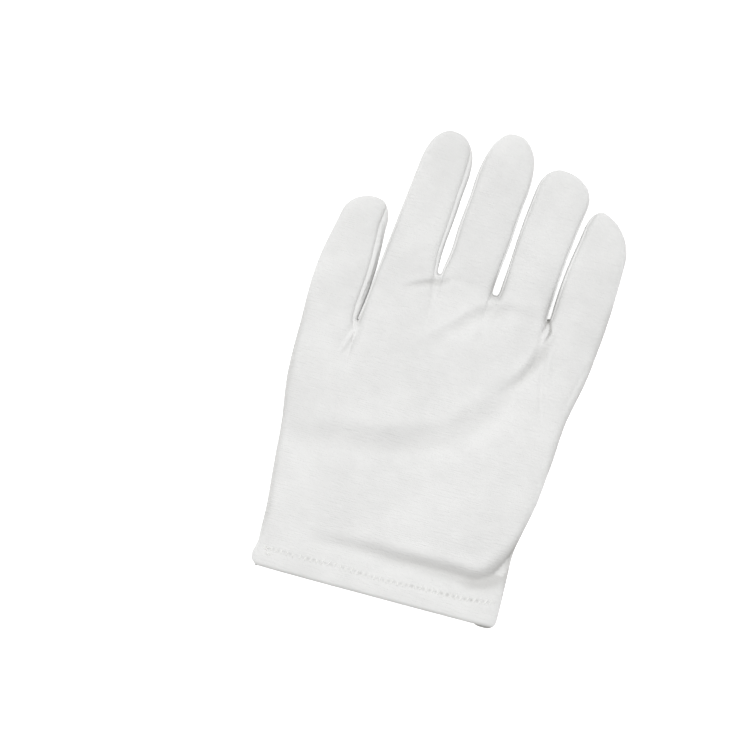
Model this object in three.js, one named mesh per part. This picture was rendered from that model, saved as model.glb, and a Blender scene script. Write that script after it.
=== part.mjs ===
// A right-hand white cotton dress glove, lying palm down with its back up.
// Millimetres, +Z up, fingertips towards +Y, thumb on the -X side.
//
// The glove is cut and sewn from knitted cotton. A back panel and a palm panel
// each cover the hand and all five fingers, and meet in a side seam outside the
// thumb and outside the little finger. Between two fingers they don't meet: a
// gusset, a narrow strip of the same cloth, runs down the side of one finger,
// round the web and up the next, which gives each finger its thickness. The
// cuff ends in a hem that is turned in and stitched.
//
// The whole outer skin is worked out first, as grids that share their seam
// points. Each piece is then one patch of that skin, thickened inwards, with a
// small gap to its neighbours along every seam.
import * as THREE from "three";
import { mergeVertices } from "three/addons/utils/BufferGeometryUtils.js";

const { lerp, clamp, smoothstep, degToRad } = THREE.MathUtils;

// Main sizes
const GLOVE_LENGTH = 228.4; // from the cuff's edge to the middle fingertip
const CUFF_WIDTH = 119; // across the cuff, lying flat
const FINGER_ROW_WIDTH = 140.9; // across the roots of the thumb and all four fingers
const FINGER_ROW_OFFSET = 3.1; // of that row's middle, towards the little finger
const HEM_DEPTH = 9.5; // from the cuff's edge to the hem's stitch line

// Cloth and sewing
const CLOTH_THICKNESS = 1.0; // one layer of knitted cotton
const HEM_THICKNESS = 2.0; // the cloth and the fold turned in behind it
const SEAM_GAP = 0.3; // between two pieces along a seam

// Thickness of the lying glove, and heights above the surface that it lies on
const CUFF_THICKNESS = 10.8;
const PALM_THICKNESS = 12.8;
const FINGER_THICKNESS = 10.4;
const SIDE_SEAM_HEIGHT = 3.6; // of the seams that join the two panels
const UPPER_SEAM_HEIGHT = 7.2; // of the seams between the back panel and the gussets
const LOWER_SEAM_HEIGHT = 1.3; // of the seams between the palm panel and the gussets
const GUSSET_BULGE_WIDTH = 0.5; // a gusset's middle stands out this far
const PALM_ROLL_WIDTH = 16; // over which the palm panel turns up to its side seams
const FINGER_ROLL_WIDTH = 4; // the same along a finger
const WEB_LEAN_WIDTH = 1.2; // at a web the gusset's lower edge stands out this far
const VALLEY_LENGTH = 34; // the valleys between the fingers run out into the back over this

// Fingers, from the thumb. Width is a share of the finger row's width. Reach is how far
// up from the cuff's edge the tip is, as a share of the glove's length. The tip's place
// across the finger and the lengths over which its two sides round off are shares of the
// finger's width.
const FINGERS = [
  { name: "thumb", width: 0.1845, reach: 0.7995, tip_at: 0.63, left_round: 0.54, right_round: 0.56 },
  { name: "index", width: 0.2094, reach: 0.9733, tip_at: 0.46, left_round: 0.61, right_round: 0.7 },
  { name: "middle", width: 0.1703, reach: 1.0, tip_at: 0.42, left_round: 1.04, right_round: 1.02 },
  { name: "ring", width: 0.1675, reach: 0.9527, tip_at: 0.39, left_round: 0.53, right_round: 0.6 },
  { name: "little", width: 0.1874, reach: 0.8884, tip_at: 0.32, left_round: 0.54, right_round: 0.9 },
];

// The left and right side of each finger: its tilt towards the little finger in degrees,
// how far it bows out, and how far the lower edge of its gusset stands out past the upper
// one, both as shares of the finger's width.
const FINGER_SIDES = [
  { tilt: [5.8, 2.5], bow: [0.073, 0.05], lean: [0, 0.204] },
  { tilt: [6.1, 3.9], bow: [0.007, -0.03], lean: [0.014, 0.132] },
  { tilt: [3.7, 5.3], bow: [-0.033, -0.029], lean: [0.05, 0.017] },
  { tilt: [3.7, 5.6], bow: [0.034, -0.034], lean: [0.119, 0.017] },
  { tilt: [5.5, 1.8], bow: [0.034, 0.011], lean: [0.095, 0] },
];

// The webs between the fingers, each the bottom of a slit that a gusset lines. Up is how
// far up from the cuff's edge it is, as a share of the glove's length, and width is a
// share of the finger row's width.
const WEBS = [
  { name: "thumb_index", up: 0.5451, width: 0.0064 },
  { name: "index_middle", up: 0.6743, width: 0.0241 },
  { name: "middle_ring", up: 0.6677, width: 0.0341 },
  { name: "ring_little", up: 0.648, width: 0.0163 },
];
const OUTER_ROOTS = [0.534, 0.6436]; // the same outside the thumb and the little finger

// The palm between the hem and the finger row, along as a share of that height. Left and
// right say how far its outline stands out past the straight line from the hem to the
// root, as a share of the cuff's width. Crown is the back's height over its middle, as a
// share of the way from the cuff's thickness to the palm's.
const PALM_SECTIONS = [
  { along: 0.0, left: 0.004, right: 0.0, crown: 0.0 },
  { along: 0.12, left: -0.01, right: -0.018, crown: 0.45 },
  { along: 0.18, left: -0.013, right: -0.028, crown: 0.65 },
  { along: 0.24, left: -0.01, right: -0.025, crown: 0.8 },
  { along: 0.38, left: -0.001, right: -0.01, crown: 1.0 },
  { along: 0.52, left: 0.001, right: -0.011, crown: 1.0 },
  { along: 0.66, left: 0.008, right: -0.018, crown: 0.9 },
  { along: 0.85, left: 0.008, right: 0.001, crown: 0.75 },
  { along: 1.0, left: 0.0, right: 0.0, crown: 0.6 },
];

// Profiles along a finger: 0 is its root, 1 where the tip starts to round and 2 the tip.
// Lean and height are shares of the gusset's own lean and height, and crown a share of
// the finger's thickness.
const FINGER_SECTIONS = [
  { along: 0.0, lean: 0.4, height: 1.0, crown: 1.0 },
  { along: 0.3, lean: 0.9, height: 1.0, crown: 1.0 },
  { along: 0.7, lean: 1.0, height: 1.0, crown: 0.96 },
  { along: 1.0, lean: 0.8, height: 0.85, crown: 0.92 },
  { along: 1.4, lean: 0.35, height: 0.35, crown: 0.9 },
  { along: 1.6, lean: 0.0, height: 0.0, crown: 0.9 },
  { along: 2.0, lean: 0.0, height: 0.0, crown: 0.9 },
];

// Folds pressed into the back. Each is a curve from start over via to end, whose points
// are shares of the cuff's width across from its middle and of the palm's length up from
// the cuff's edge. Width and the depth at its start and end are shares of the palm's
// thickness.
const PALM_LENGTH = WEBS[1].up * GLOVE_LENGTH;
const FOLDS = {
  above_hem: { start: [-0.34, 0.12], via: [0.3, 0.1], end: [0.54, 0.22], width: 0.9, depth: [0.06, 0.24] },
  across_palm: { start: [0.39, 0.9], via: [0.36, 0.45], end: [-0.5, 0.45], width: 1.3, depth: [0.2, 0.1] },
  ring_web: { start: [0.17, 0.96], via: [0.05, 0.92], end: [-0.08, 0.77], width: 0.6, depth: [0.15, 0.05] },
  little_web: { start: [0.39, 0.95], via: [0.41, 0.8], end: [0.46, 0.62], width: 0.5, depth: [0.15, 0.05] },
  thumb_web: { start: [-0.35, 0.8], via: [-0.36, 0.76], end: [-0.39, 0.7], width: 0.5, depth: [0.12, 0.04] },
};
const FOLD_STEPS = 24;

// Roundness of the cross-sections: 2 is an ellipse, more is flatter on top
const PALM_FLATNESS = 3.0;
const FINGER_FLATNESS = 2.6;
const TIP_ROUNDNESS = 2.25; // of the tips' outline, in the same way
const TIP_FALL = 0.75; // how fast the thickness falls off towards a tip, under 1 is blunter
const HEM_FOLD_ROUND = 0.3; // the cuff's folded edge stands out by this share of the hem's thickness

// Grid
const FINGER_COLUMNS = 6;
const WEB_COLUMNS = 2;
const HEM_ROWS = 2;
const PALM_ROWS = 16;
const FINGER_ROWS = 8;
const TIP_ROWS = 5;
const GUSSET_ROWS = 2; // over the gusset's height

const WHITE_COTTON = { color: 0xe9e9e7, roughness: 0.95, metalness: 0 };

// The value of one column of a table at a place along it.
function tableAt(table, along, column) {
  const next = table.findIndex((row) => row.along >= along);
  if (next < 0) return table[table.length - 1][column];
  if (next === 0) return table[0][column];
  const [a, b] = [table[next - 1], table[next]];
  const t = (along - a.along) / (b.along - a.along);
  return lerp(a[column], b[column], (t + smoothstep(t, 0, 1)) / 2);
}

const flatTop = (f, flatness) => Math.pow(Math.max(0, 1 - Math.pow(Math.abs(f), flatness)), 1 / flatness);

// How far a panel has turned up at a place across it, from 0 in its flat middle to 1 at
// its edge, over a roll of the given width.
function edgeRoll(f, roll, halfWidth) {
  const flat = Math.max(0, 1 - roll / Math.max(halfWidth, 1e-3));
  const t = clamp((Math.abs(f) - flat) / (1 - flat), 0, 1);
  return 1 - Math.sqrt(1 - t * t);
}

// Plan of the hand: each finger with its two sides, from their roots up.
function layHand() {
  let x = FINGER_ROW_OFFSET - FINGER_ROW_WIDTH / 2;
  return FINGERS.map((finger, i) => {
    const { tilt, bow, lean } = FINGER_SIDES[i];
    const width = finger.width * FINGER_ROW_WIDTH;
    const tipUp = finger.reach * GLOVE_LENGTH;
    const ups = [WEBS[i - 1]?.up ?? OUTER_ROOTS[0], WEBS[i]?.up ?? OUTER_ROOTS[1]];
    const rounds = [finger.left_round, finger.right_round];
    const sides = [0, 1].map((k) => {
      const root = new THREE.Vector2(x + k * width, ups[k] * GLOVE_LENGTH);
      const slope = Math.tan(degToRad(tilt[k]));
      const shoulderUp = tipUp - rounds[k] * width;
      const shoulder = new THREE.Vector2(root.x + (shoulderUp - root.y) * slope, shoulderUp);
      const hasGusset = k === 0 ? i > 0 : i < WEBS.length;
      const outward = k === 0 ? -1 : 1;
      return { root, shoulder, slope, outward, hasGusset, bow: bow[k] * width, lean: lean[k] * width };
    });
    x += width + (WEBS[i]?.width ?? 0) * FINGER_ROW_WIDTH;
    return { ...finger, tipUp, sides };
  });
}
const HAND = layHand();

// The two ends of a row across a finger, in plan, for the back or the palm panel.
function fingerRow(finger, along, layer) {
  const [left, right] = finger.sides;
  const middle = left.shoulder.clone().lerp(right.shoulder, finger.tip_at);
  const slope = lerp(left.slope, right.slope, finger.tip_at);
  const rise = finger.tipUp - middle.y;
  const turn = ((along - 1) * Math.PI) / 2;
  return finger.sides.map((side) => {
    let end;
    if (along <= 1) {
      end = side.root.clone().lerp(side.shoulder, along);
      end.x += side.outward * side.bow * Math.sin(along * Math.PI);
    } else {
      const outShare = along >= 2 ? 0 : Math.pow(Math.cos(turn), 2 / TIP_ROUNDNESS);
      const upShare = Math.pow(Math.sin(turn), 2 / TIP_ROUNDNESS);
      end = middle.clone().lerp(side.shoulder, outShare);
      end.add(new THREE.Vector2(rise * slope, rise).multiplyScalar(upShare));
    }
    if (layer === "back" && side.hasGusset) {
      end.x -= side.outward * side.lean * tableAt(FINGER_SECTIONS, along, "lean");
      end.y -= WEB_LEAN_WIDTH * Math.max(0, 1 - along * FINGER_ROWS);
    }
    return end;
  });
}

// Height of a panel's edge at a place along a side of a finger.
function edgeHeight(side, along, layer) {
  if (!side.hasGusset) return SIDE_SEAM_HEIGHT;
  const seam = layer === "back" ? UPPER_SEAM_HEIGHT : LOWER_SEAM_HEIGHT;
  return lerp(SIDE_SEAM_HEIGHT, seam, tableAt(FINGER_SECTIONS, along, "height"));
}

// Height of a point across a finger, with f from -1 at its left side to 1 at its right.
function fingerHeight(finger, along, f, halfWidth, layer) {
  const [left, right] = finger.sides.map((side) => edgeHeight(side, along, layer));
  const fall = along < 2 ? Math.cos((Math.max(along - 1, 0) * Math.PI) / 2) : 0;
  if (layer === "back") {
    const edge = lerp(left, right, (f + 1) / 2);
    const crown = FINGER_THICKNESS * tableAt(FINGER_SECTIONS, along, "crown");
    const top = SIDE_SEAM_HEIGHT + (crown - SIDE_SEAM_HEIGHT) * Math.pow(fall, TIP_FALL);
    return edge + (Math.max(top, edge) - edge) * flatTop(f, FINGER_FLATNESS);
  }
  const floor = SIDE_SEAM_HEIGHT * (1 - Math.pow(fall, TIP_FALL / 2));
  const nearEdge = f < 0 ? left : right;
  return lerp(floor, Math.max(floor, nearEdge), edgeRoll(f, FINGER_ROLL_WIDTH, halfWidth));
}

// Places across a finger, closer together towards its edges.
const ACROSS = Array.from({ length: FINGER_COLUMNS + 1 }, (_, i) =>
  Math.sin(((i / FINGER_COLUMNS) * 2 - 1) * (Math.PI / 2)),
);

function fingerGridRow(finger, along, layer) {
  const [left, right] = fingerRow(finger, along, layer);
  const halfWidth = left.distanceTo(right) / 2;
  return ACROSS.map((f) => {
    const p = left.clone().lerp(right, (f + 1) / 2);
    return new THREE.Vector3(p.x, p.y, fingerHeight(finger, along, f, halfWidth, layer));
  });
}

const FINGER_ALONG = [
  ...Array.from({ length: FINGER_ROWS + 1 }, (_, i) => i / FINGER_ROWS),
  ...Array.from({ length: TIP_ROWS }, (_, i) => 1 + (i + 1) / TIP_ROWS),
];

// The row of points through the finger roots and the webs, from the thumb's side.
function rootRow(layer) {
  const row = [];
  HAND.forEach((finger, i) => {
    row.push(...fingerGridRow(finger, 0, layer));
    if (i === WEBS.length) return;
    const from = row[row.length - 1];
    const to = fingerGridRow(HAND[i + 1], 0, layer)[0];
    for (let k = 1; k < WEB_COLUMNS; k++) {
      const turn = (k / WEB_COLUMNS) * Math.PI;
      const p = from.clone().lerp(to, k / WEB_COLUMNS);
      p.y -= Math.sin(turn) * (to.x - from.x) * 0.35;
      row.push(p);
    }
  });
  return row;
}

// Shares of the way across the palm at which its columns of points run.
function columnShares(root) {
  const [first, last] = [root[0].x, root[root.length - 1].x];
  return root.map((p) => (p.x - first) / (last - first));
}

// The curve of each fold, as points in plan.
const FOLD_CURVES = Object.values(FOLDS).map((fold) => {
  const [a, b, c] = [fold.start, fold.via, fold.end].map(
    ([across, up]) => new THREE.Vector2(across * CUFF_WIDTH, up * PALM_LENGTH),
  );
  return { ...fold, points: new THREE.QuadraticBezierCurve(a, b, c).getPoints(FOLD_STEPS) };
});

// How far the folds press the back down at a point in plan.
function foldDepth(x, y) {
  const p = new THREE.Vector2(x, y);
  let depth = 0;
  for (const fold of FOLD_CURVES) {
    const distances = fold.points.map((q) => q.distanceTo(p));
    const nearest = Math.min(...distances);
    const at = distances.indexOf(nearest) / FOLD_STEPS;
    const ends = Math.min(1, 6 * at + 0.4) * Math.min(1, 6 * (1 - at) + 0.2);
    const across = nearest / (fold.width * PALM_THICKNESS);
    const deep = lerp(fold.depth[0], fold.depth[1], at) * PALM_THICKNESS;
    depth += deep * ends * Math.exp(-across * across * 2);
  }
  return depth;
}

// A point of the palm's part of a panel: share is across it, v runs from the hem to the
// finger roots.
function palmPoint(share, v, root, lane, layer) {
  const half = CUFF_WIDTH / 2;
  const [first, last] = [root[0], root[root.length - 1]];
  const standsOut = (side) => tableAt(PALM_SECTIONS, v, side) * CUFF_WIDTH;
  const leftX = lerp(-half, first.x, v) - standsOut("left");
  const rightX = lerp(half, last.x, v) + standsOut("right");
  const leftY = lerp(HEM_DEPTH, first.y, v);
  const rightY = lerp(HEM_DEPTH, last.y, v);
  const x = lerp(leftX, rightX, share);
  const y = lerp(leftY, rightY, share) + Math.pow(v, 1.5) * (lane.y - lerp(first.y, last.y, share));
  const halfWidth = (rightX - leftX) / 2;
  const f = 2 * share - 1;
  const blend = smoothstep(v, 1 - VALLEY_LENGTH / PALM_LENGTH, 1);
  if (layer === "palm") {
    const z = SIDE_SEAM_HEIGHT * edgeRoll(f, PALM_ROLL_WIDTH, halfWidth);
    return new THREE.Vector3(x, y, lerp(z, lane.z, blend));
  }
  const crown = lerp(CUFF_THICKNESS, PALM_THICKNESS, tableAt(PALM_SECTIONS, v, "crown"));
  const arch = flatTop(f, PALM_FLATNESS);
  const z = SIDE_SEAM_HEIGHT + (crown - SIDE_SEAM_HEIGHT) * arch;
  const sink = foldDepth(x, y) * smoothstep(v, 0, 0.05) * Math.min(1, arch * 2) * (1 - blend * 0.6);
  return new THREE.Vector3(x, y, Math.max(lerp(z, lane.z, blend) - sink, SIDE_SEAM_HEIGHT));
}

// A point of the hem: u runs from the cuff's edge to the stitch line.
function hemPoint(share, u, layer) {
  const f = 2 * share - 1;
  const x = f * (CUFF_WIDTH / 2);
  const z =
    layer === "back"
      ? SIDE_SEAM_HEIGHT + (CUFF_THICKNESS - SIDE_SEAM_HEIGHT) * flatTop(f, PALM_FLATNESS)
      : SIDE_SEAM_HEIGHT * edgeRoll(f, PALM_ROLL_WIDTH, CUFF_WIDTH / 2);
  return new THREE.Vector3(x, u * HEM_DEPTH, z);
}

// Every patch of the outer skin, as a grid of rows of points. The palm's panel is seen
// from below, so its rows run the other way round.
function skinGrids(layer) {
  const root = rootRow(layer);
  const shares = columnShares(rootRow("palm"));
  const turn = (rows) => (layer === "back" ? rows : rows.map((row) => [...row].reverse()));
  const hem = [];
  for (let i = 0; i <= HEM_ROWS; i++) hem.push(shares.map((s) => hemPoint(s, i / HEM_ROWS, layer)));
  const palm = [];
  for (let i = 0; i <= PALM_ROWS; i++) {
    const v = i / PALM_ROWS;
    palm.push(i < PALM_ROWS ? shares.map((s, k) => palmPoint(s, v, root, root[k], layer)) : root);
  }
  palm[0] = hem[HEM_ROWS];
  const fingers = HAND.map((finger) => FINGER_ALONG.map((along) => fingerGridRow(finger, along, layer)));
  return { hem: turn(hem), palm: turn(palm), fingers: fingers.map(turn), root };
}

const BACK = skinGrids("back");
const PALM = skinGrids("palm");

// The grid of one gusset: its rows go over its height, from the upper seam to the lower
// one, and its columns follow the slit from the left finger's tip round the web.
function gussetGrid(index) {
  const [leftFinger, rightFinger] = [HAND[index], HAND[index + 1]];
  const isClosed = (along) => along > 1 && tableAt(FINGER_SECTIONS, along, "height") === 0;
  const end = FINGER_ALONG.findIndex(isClosed);
  const along = FINGER_ALONG.slice(0, end + 1);
  const seam = (layer) => {
    const root = layer === "back" ? BACK.root : PALM.root;
    const start = index * (FINGER_COLUMNS + WEB_COLUMNS) + FINGER_COLUMNS;
    const down = [...along].reverse().map((a) => fingerGridRow(leftFinger, a, layer)[FINGER_COLUMNS]);
    const up = along.map((a) => fingerGridRow(rightFinger, a, layer)[0]);
    return [...down, ...root.slice(start + 1, start + WEB_COLUMNS), ...up];
  };
  const [lower, upper] = [seam("palm"), seam("back")];
  return Array.from({ length: GUSSET_ROWS + 1 }, (_, r) =>
    lower.map((low, i) => {
      const t = 1 - r / GUSSET_ROWS;
      const p = low.clone().lerp(upper[i], t);
      const before = lower[Math.max(i - 1, 0)];
      const after = lower[Math.min(i + 1, lower.length - 1)];
      const outward = new THREE.Vector2(before.y - after.y, after.x - before.x).normalize();
      const open = (upper[i].z - low.z) / (UPPER_SEAM_HEIGHT - LOWER_SEAM_HEIGHT);
      const bulge = GUSSET_BULGE_WIDTH * Math.sin(t * Math.PI) * open;
      return p.add(new THREE.Vector3(outward.x * bulge, outward.y * bulge, 0));
    }),
  );
}

// The whole skin as one list of triangles, with the piece that each belongs to.
const triangles = [];
function addGrid(piece, rows) {
  for (let i = 0; i + 1 < rows.length; i++) {
    for (let j = 0; j + 1 < rows[i].length; j++) {
      const [a, b, c, d] = [rows[i][j], rows[i][j + 1], rows[i + 1][j + 1], rows[i + 1][j]];
      triangles.push({ piece, corners: [a, b, c] }, { piece, corners: [a, c, d] });
    }
  }
}
for (const [piece, skin] of [["back_panel", BACK], ["palm_panel", PALM]]) {
  addGrid("cuff_hem", skin.hem);
  addGrid(piece, skin.palm);
  skin.fingers.forEach((rows) => addGrid(piece, rows));
}
WEBS.forEach((web, i) => addGrid(`gusset_${web.name}`, gussetGrid(i)));

// Shared points and their outward directions, from all the skin's triangles together.
const skin = mergeVertices(
  new THREE.BufferGeometry().setFromPoints(triangles.flatMap((t) => t.corners)),
  1e-3,
);
skin.computeVertexNormals();
const point = (i) => new THREE.Vector3().fromBufferAttribute(skin.attributes.position, i);
const normal = (i) => new THREE.Vector3().fromBufferAttribute(skin.attributes.normal, i);

const faces = triangles
  .map((t, i) => ({ piece: t.piece, v: [0, 1, 2].map((k) => skin.index.getX(3 * i + k)) }))
  .filter(({ v: [a, b, c] }) => a !== b && b !== c && c !== a);

const edgeKey = (a, b) => `${a}_${b}`;
const directedEdges = (list) =>
  new Set(list.flatMap(({ v: [a, b, c] }) => [edgeKey(a, b), edgeKey(b, c), edgeKey(c, a)]));
const allEdges = directedEdges(faces);

// The mean of the directions listed for a point, and how far along it a point has to
// move to get one unit away from each of its edges.
function meanDirection(list) {
  const direction = list.reduce((sum, w) => sum.add(w), new THREE.Vector3()).normalize();
  return { direction, stretch: 1 / Math.max(0.4, direction.dot(list[0])) };
}

// One piece: its patch of the skin, drawn back from its seams by half a gap, and
// thickened inwards to a closed wall. A free edge, the cuff's, is a rounded fold.
function wallGeometry(piece, wall) {
  const patch = faces.filter((face) => face.piece === piece);
  const own = directedEdges(patch);
  const rim = [];
  const fromSeam = new Map();
  const fromFold = new Map();
  for (const { v } of patch) {
    for (let k = 0; k < 3; k++) {
      const [a, b] = [v[k], v[(k + 1) % 3]];
      if (own.has(edgeKey(b, a))) continue;
      const isSeam = allEdges.has(edgeKey(b, a));
      rim.push([a, b, isSeam]);
      const along = point(b).sub(point(a));
      const list = isSeam ? fromSeam : fromFold;
      for (const i of [a, b]) list.set(i, [...(list.get(i) ?? []), normal(i).cross(along).normalize()]);
    }
  }
  const outer = (i) => {
    if (!fromSeam.has(i)) return point(i);
    const { direction, stretch } = meanDirection(fromSeam.get(i));
    return point(i).addScaledVector(direction, (SEAM_GAP / 2) * stretch);
  };
  const inner = (i) => outer(i).addScaledVector(normal(i), -wall);
  const fold = (i) => {
    const { direction } = meanDirection(fromFold.get(i));
    return outer(i).lerp(inner(i), 0.5).addScaledVector(direction, -HEM_FOLD_ROUND * wall);
  };
  const corners = patch.flatMap(({ v: [a, b, c] }) => [
    ...[outer(a), outer(b), outer(c)],
    ...[inner(a), inner(c), inner(b)],
  ]);
  const band = (a, b, c, d) => corners.push(b, a, c, b, c, d);
  for (const [a, b, isSeam] of rim) {
    if (isSeam) {
      band(outer(a), outer(b), inner(a), inner(b));
    } else {
      band(outer(a), outer(b), fold(a), fold(b));
      band(fold(a), fold(b), inner(a), inner(b));
    }
  }
  return mergeVertices(new THREE.BufferGeometry().setFromPoints(corners), 1e-4);
}

const WALLS = {
  back_panel: CLOTH_THICKNESS,
  palm_panel: CLOTH_THICKNESS,
  ...Object.fromEntries(WEBS.map((web) => [`gusset_${web.name}`, CLOTH_THICKNESS])),
  cuff_hem: HEM_THICKNESS,
};

const glove = new THREE.Group();
for (const [name, wall] of Object.entries(WALLS)) {
  const mesh = new THREE.Mesh(wallGeometry(name, wall), new THREE.MeshStandardMaterial(WHITE_COTTON));
  mesh.name = name;
  glove.add(mesh);
}

// The origin is on the resting surface, under the middle of the glove.
const box = new THREE.Box3().setFromObject(glove);
const middle = box.getCenter(new THREE.Vector3());
glove.position.set(-middle.x, -middle.y, -box.min.z);

export default glove;
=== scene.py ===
# %% [markdown]
# # A white cotton dress glove
#
# This lesson dresses a plain CAD glove in knitted cotton. The glove lies palm down
# on a white table, with its back up. The CAD model gives the outline, the thickness
# and the seams. Here we add what a solid can't show: the creases at the finger
# roots, the puckered seams, the puffed hem with its stitches, and the knit itself.

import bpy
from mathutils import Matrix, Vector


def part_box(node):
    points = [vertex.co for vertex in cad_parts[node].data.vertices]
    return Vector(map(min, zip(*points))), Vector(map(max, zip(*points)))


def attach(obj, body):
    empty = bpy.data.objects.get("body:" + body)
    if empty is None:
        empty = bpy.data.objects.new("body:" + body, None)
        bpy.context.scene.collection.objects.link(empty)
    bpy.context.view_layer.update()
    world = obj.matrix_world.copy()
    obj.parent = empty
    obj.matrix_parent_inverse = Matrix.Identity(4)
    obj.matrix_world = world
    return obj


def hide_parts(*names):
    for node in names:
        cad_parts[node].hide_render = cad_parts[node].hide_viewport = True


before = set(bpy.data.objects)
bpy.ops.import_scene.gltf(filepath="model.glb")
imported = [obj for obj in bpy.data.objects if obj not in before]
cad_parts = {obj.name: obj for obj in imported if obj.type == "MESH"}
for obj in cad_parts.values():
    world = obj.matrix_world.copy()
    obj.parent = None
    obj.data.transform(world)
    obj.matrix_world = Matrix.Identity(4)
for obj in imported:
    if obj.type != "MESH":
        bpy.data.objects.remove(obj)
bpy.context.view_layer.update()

# %% Imports and units
import math

import bmesh
import bpy
from mathutils import Matrix, Vector, noise
from mathutils.bvhtree import BVHTree
from mathutils.kdtree import KDTree

MM = 0.001  # Blender works in metres here, and the sizes below are in millimetres

# %% Small helpers
def add_object(name, data):
    """A new object in the scene, which shows the data."""
    thing = bpy.data.objects.new(name, data)
    bpy.context.scene.collection.objects.link(thing)
    return thing


def mesh_object(name, shape, material):
    """A new object made of a bmesh, which is freed."""
    mesh = bpy.data.meshes.new(name)
    shape.to_mesh(mesh)
    shape.free()
    mesh.materials.append(material)
    return add_object(name, mesh)


def search_tree(points):
    """A KD tree, which finds the point that is nearest to a place."""
    tree = KDTree(len(points))
    for number, point in enumerate(points):
        tree.insert(point, number)
    tree.balance()
    return tree


# %% [markdown]
# ## Where things are on the glove
#
# Every crease and stitch below has a place on the glove itself. We measure from the
# middle of the cuff's edge: x goes towards the little finger and y towards the
# fingertips. Taking that point from the hem's own box keeps all of it in place if
# the CAD model moves.

# %% A frame on the glove
CUFF_FOLD_MM = 0.6  # the folded edge stands out this far past the cuff's edge
hem_low, hem_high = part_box("cuff_hem")
CUFF = Vector(((hem_low.x + hem_high.x) / 2, hem_low.y + CUFF_FOLD_MM * MM, 0))


def on_glove(point):
    """A point's place on the glove in millimetres, from the middle of the cuff."""
    return (point.x - CUFF.x) / MM, (point.y - CUFF.y) / MM


print("middle of the cuff's edge in mm:", [round(c / MM, 2) for c in CUFF])

# %% [markdown]
# ## Camera
#
# The photograph looks straight down at the glove, which lies turned by 15 degrees.
# A camera 1.2 m above it gives nearly no perspective, as in the photograph. The
# lens follows from the width that the picture has to show at that distance.

# %% Camera straight above
VIEW_WIDTH_MM = 354.35  # what the picture shows across, at the height of the outline
OUTLINE_HEIGHT_MM = 3.6  # the side seams, which make the outline, lie this high
CAMERA_HEIGHT_MM = 1200  # above the outline
PICTURE_MIDDLE_MM = (-27.7, 101.5)  # the place on the glove that is in the picture's middle
ROLL_DEGREES = 15
camera_data = bpy.data.cameras.new("overhead")
camera_data.sensor_width = 36
camera_data.lens = camera_data.sensor_width * CAMERA_HEIGHT_MM / VIEW_WIDTH_MM
camera = add_object("overhead", camera_data)
camera.location = (
    CUFF + Vector((*PICTURE_MIDDLE_MM, CAMERA_HEIGHT_MM + OUTLINE_HEIGHT_MM)) * MM
)
camera.rotation_euler = (0, 0, math.radians(ROLL_DEGREES))
bpy.context.scene.camera = camera
print("lens in mm:", round(camera_data.lens, 1))

# %% [markdown]
# ## Taking the outer skin from the solids
#
# Each CAD piece is a closed wall: an outer sheet, an inner sheet, and a rim that
# joins them. For cloth we want the outer sheet alone, because a single sheet can be
# subdivided and pushed about freely, and gets its thickness back at the end. The
# edges that cross the wall are exactly as long as the wall is thick, so the rim's
# triangles are the ones that own such an edge. Without them the wall falls apart
# into two islands, and we keep the outer one.

# %% Helpers for islands
WALL_MM = {"cuff_hem": 2.0}  # the hem is a double layer, every other piece is 1 mm
PIECES = [
    "back_panel",
    "palm_panel",
    "gusset_thumb_index",
    "gusset_index_middle",
    "gusset_middle_ring",
    "gusset_ring_little",
    "cuff_hem",
]


def islands(sheet):
    """The separate sheets in a bmesh, each a set of its vertices."""
    waiting, found = {v for v in sheet.verts if v.link_faces}, []
    while waiting:
        edge_of_island = [waiting.pop()]
        island = set(edge_of_island)
        while edge_of_island:
            for edge in edge_of_island.pop().link_edges:
                for v in edge.verts:
                    if v in waiting:
                        waiting.discard(v)
                        island.add(v)
                        edge_of_island.append(v)
        found.append(island)
    return found


def outwardness(name, island):
    """Highest for the island that is the outside of its piece."""
    if name == "back_panel":
        return max(v.co.z for v in island)
    if name == "palm_panel":
        return -min(v.co.z for v in island)
    return min(v.co.x for v in island) - max(v.co.x for v in island)


# %% The outer sheet of a CAD piece
SAME_POINT_MM = 0.02  # points that are closer than this are one point
SLACK_MM = 0.0003  # an edge across the wall is as long as the wall is thick, within this


def outer_sheet(name):
    """A bmesh of the outer sheet of a CAD node, in quads."""
    sheet = bmesh.new()
    sheet.from_mesh(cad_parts[name].data)
    bmesh.ops.remove_doubles(sheet, verts=sheet.verts, dist=SAME_POINT_MM * MM)
    wall = WALL_MM.get(name, 1.0) * MM
    crossing = {e for e in sheet.edges if abs(e.calc_length() - wall) < SLACK_MM * MM}
    rim = [f for f in sheet.faces if any(e in crossing for e in f.edges)]
    bmesh.ops.delete(sheet, geom=rim, context="FACES")
    parts = sorted(islands(sheet), key=lambda island: outwardness(name, island))
    for island in parts[:-1]:
        bmesh.ops.delete(sheet, geom=list(island), context="VERTS")
    bmesh.ops.join_triangles(
        sheet,
        faces=sheet.faces,
        angle_face_threshold=math.radians(60),
        angle_shape_threshold=math.radians(180),
    )
    return sheet


# %% All outer sheets in one mesh
skin = bmesh.new()
for number, name in enumerate(PIECES):
    sheet = outer_sheet(name)
    for face in sheet.faces:
        face.material_index = number  # remembers which piece a face belongs to
    mesh = bpy.data.meshes.new("sheet")
    sheet.to_mesh(mesh)
    sheet.free()
    before = len(skin.faces)
    skin.from_mesh(mesh)
    bpy.data.meshes.remove(mesh)
    triangles = sum(len(f.verts) == 3 for f in skin.faces[before:])
    print(name, len(skin.faces) - before, "faces,", triangles, "of them triangles")

# %% [markdown]
# ## Sewing the sheets together
#
# The CAD pieces stop 0.15 mm short of each seam. We close those gaps, so that one
# skin covers the whole glove and stays smooth across every seam. A point on a
# sheet's border meets at most one point of each other sheet, and they all move to
# the middle of where they were. Then a merge by distance joins them.

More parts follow.
